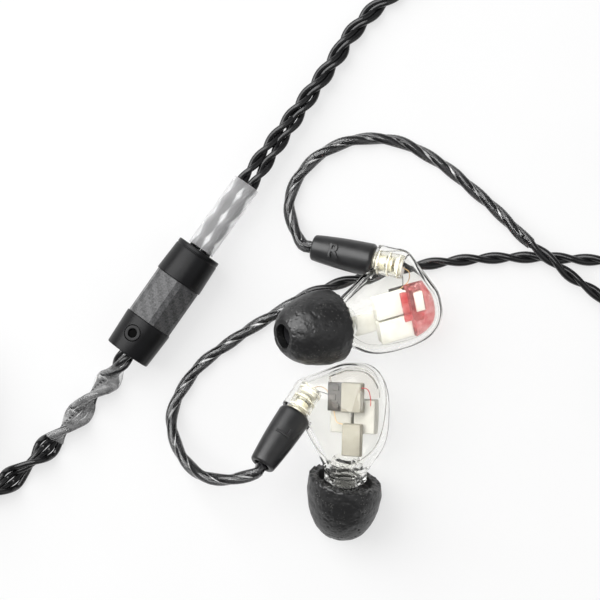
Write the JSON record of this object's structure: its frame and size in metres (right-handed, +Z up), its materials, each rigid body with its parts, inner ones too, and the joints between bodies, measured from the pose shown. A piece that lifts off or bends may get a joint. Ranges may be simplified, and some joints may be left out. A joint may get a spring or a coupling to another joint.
{
  "type": "in-ear monitors",
  "caption": "Clear over-ear in-ear monitors with foam tips, multi-driver shells and swivel snap plugs on a braided cable with splitter, chin slider and straight stereo jack.",
  "frame": {"origin": "on the table, under the middle of the box around the two earpieces", "axes": "+Z up from the table, +Y from the lower earpiece to the upper one in the picture, +X to the right in the picture"},
  "size_m": [0.1838, 0.0985, 0.0169],
  "materials": {
    "clear_shell": "clear polished acrylic",
    "frosted_tube": "clear frosted tube",
    "driver_can": "satin metal",
    "red_cradle": "red, slightly translucent",
    "circuit_board": "dark board",
    "gold_plate": "gold plated",
    "white_insulator": "moulded",
    "smoke_plastic": "moulded, smoke grey",
    "charcoal_foam": "open-pored slow-recovery foam",
    "satin_black": "satin moulded",
    "black_anodised": "black anodised",
    "carbon_sleeve": "faceted carbon weave",
    "black_cable": "twisted insulated wires, shiny black"
  },
  "bodies": {
    "set": {"right_outer_shell": "clear_shell", "right_inner_shell": "clear_shell", "right_nozzle_tube": "smoke_plastic", "right_nozzle_screen": "driver_can", "right_woofer_a": "driver_can", "right_woofer_b": "driver_can", "right_midrange": "driver_can", "right_tweeter": "driver_can", "right_driver_cradle": "red_cradle", "right_crossover_board": "circuit_board", "right_socket_shell": "gold_plate", "right_socket_insulator": "white_insulator", "left_outer_shell": "clear_shell", "left_inner_shell": "clear_shell", "left_nozzle_tube": "smoke_plastic", "left_nozzle_screen": "driver_can", "left_woofer_a": "driver_can", "left_woofer_b": "driver_can", "left_midrange": "driver_can", "left_tweeter": "driver_can", "left_driver_cradle": "red_cradle", "left_crossover_board": "circuit_board", "left_socket_shell": "gold_plate", "left_socket_insulator": "white_insulator", "splitter_cap": "black_anodised", "splitter_sleeve": "carbon_sleeve", "splitter_base": "black_anodised", "wire_splice": "white_insulator", "jack_boot": "satin_black", "jack_housing": "black_anodised", "jack_sleeve": "gold_plate", "jack_ring": "gold_plate", "jack_tip": "gold_plate", "jack_insulator": "satin_black", "right_ear_cable": "black_cable", "right_ear_coil": "black_cable", "right_ear_lead": "black_cable", "left_ear_cable": "black_cable", "left_ear_coil": "black_cable", "left_ear_lead": "black_cable", "main_cable": "black_cable", "main_coil": "black_cable", "main_tail": "black_cable", "right_coil_tie": "satin_black", "left_coil_tie": "satin_black", "main_coil_tie": "satin_black"},
    "right_plug": {"right_plug_housing": "satin_black", "right_plug_barrel": "gold_plate", "right_plug_pin": "gold_plate", "right_snap_ring": "driver_can"},
    "right_tip": {"right_tip_foam": "charcoal_foam", "right_tip_core": "smoke_plastic"},
    "left_plug": {"left_plug_housing": "satin_black", "left_plug_barrel": "gold_plate", "left_plug_pin": "gold_plate", "left_snap_ring": "driver_can"},
    "left_tip": {"left_tip_foam": "charcoal_foam", "left_tip_core": "smoke_plastic"},
    "slider": {"chin_slider": "frosted_tube"},
    "screw": {"set_screw": "driver_can"}
  },
  "joints": [
    {"name": "right_plug_swivel", "type": "hinge", "parent": "set", "child": "right_plug", "pos_m": [0.00329, 0.02148, 0.00518], "axis": [0.9529, -0.2184, 0.2105], "continuous": true},
    {"name": "right_tip_pull", "type": "slide", "parent": "set", "child": "right_tip", "axis": [-0.8346, -0.1769, 0.5216], "range_m": [0, 0.009]},
    {"name": "left_plug_swivel", "type": "hinge", "parent": "set", "child": "left_plug", "pos_m": [-0.0095, -0.00288, 0.00803], "axis": [0.53, 0.7747, -0.3448], "continuous": true},
    {"name": "left_tip_pull", "type": "slide", "parent": "set", "child": "left_tip", "axis": [-0.0558, -0.9429, -0.3283], "range_m": [0, 0.009]},
    {"name": "chin_slide", "type": "slide", "parent": "set", "child": "slider", "axis": [0.5736, 0.8165, -0.0649], "range_m": [0, 0.025]},
    {"name": "set_screw_turn", "type": "hinge", "parent": "set", "child": "screw", "pos_m": [-0.03566, 0.00965, 0.00623], "axis": [-0.2324, 0.1633, 0.9588], "continuous": true}
  ]
}
